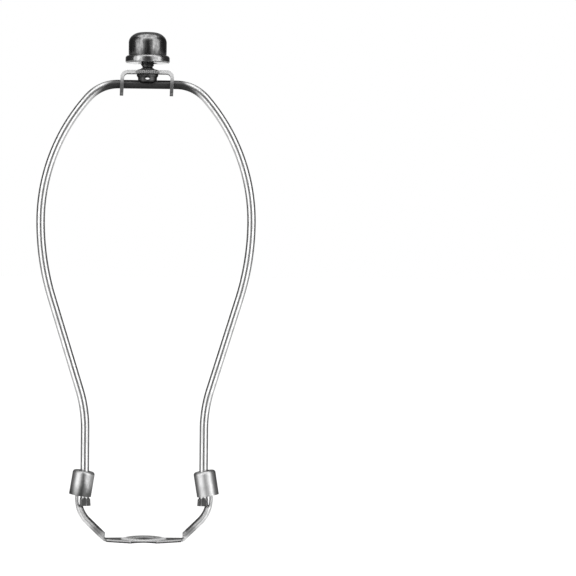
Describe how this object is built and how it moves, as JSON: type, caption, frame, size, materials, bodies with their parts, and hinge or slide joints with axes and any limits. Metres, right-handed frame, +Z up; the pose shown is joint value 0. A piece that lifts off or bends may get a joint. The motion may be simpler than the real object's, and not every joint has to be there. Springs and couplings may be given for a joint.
{
  "type": "lamp harp",
  "caption": "Detachable lamp harp: bent wire loop on a stamped saddle with sliding locking ferrules, swivel shade rest and screw-on finial.",
  "frame": {"origin": "centre of the saddle's hole, on the underside of the boss round it", "axes": "+Z up along the lamp's pipe towards the finial, X across the loop from leg to leg, Y through the loop, front at -Y"},
  "size_m": [0.104, 0.021, 0.2415],
  "materials": {
    "saddle_nickel": "plated nickel, mottled grey near the bends",
    "wire_steel": "satin nickel plate with faint lengthwise drawing lines",
    "ferrule_nickel": "brushed nickel plate",
    "rest_steel": "satin nickel plate, darker in the serrations",
    "stud_dark": "blackened steel",
    "finial_pewter": "antique pewter plate, relieved and mottled",
    "nut_bright": "bright zinc plate"
  },
  "bodies": {
    "saddle": {"saddle": "saddle_nickel"},
    "harp": {"harp_wire": "wire_steel"},
    "left_ferrule": {"ferrule_left": "ferrule_nickel"},
    "right_ferrule": {"ferrule_right": "ferrule_nickel"},
    "swivel": {"shade_rest": "rest_steel", "stud": "stud_dark"},
    "finial_thread": {"finial_nut": "nut_bright"},
    "finial": {"finial_cap": "finial_pewter"}
  },
  "joints": [
    {"name": "harp_lift", "type": "slide", "parent": "saddle", "child": "harp", "axis": [0, 0, 1], "range_m": [0, 0.02]},
    {"name": "left_ferrule_slide", "type": "slide", "parent": "harp", "child": "left_ferrule", "axis": [0, 0, 1], "range_m": [0, 0.018]},
    {"name": "right_ferrule_slide", "type": "slide", "parent": "harp", "child": "right_ferrule", "axis": [0, 0, 1], "range_m": [0, 0.018]},
    {"name": "shade_swivel", "type": "hinge", "parent": "harp", "child": "swivel", "pos_m": [0, 0, 0.2164], "axis": [1, 0, 0], "continuous": true},
    {"name": "finial_lift", "type": "slide", "parent": "swivel", "child": "finial_thread", "axis": [0, 0, 1], "range_m": [-0.0028, 0.008]},
    {"name": "finial_turn", "type": "hinge", "parent": "finial_thread", "child": "finial", "pos_m": [0, 0, 0.2334], "axis": [0, 0, 1], "range_deg": [-1055, 3050]}
  ],
  "couplings": [
    {"joint": "finial_lift", "follows": "finial_turn", "m_per_rad": 0.00014972}
  ]
}
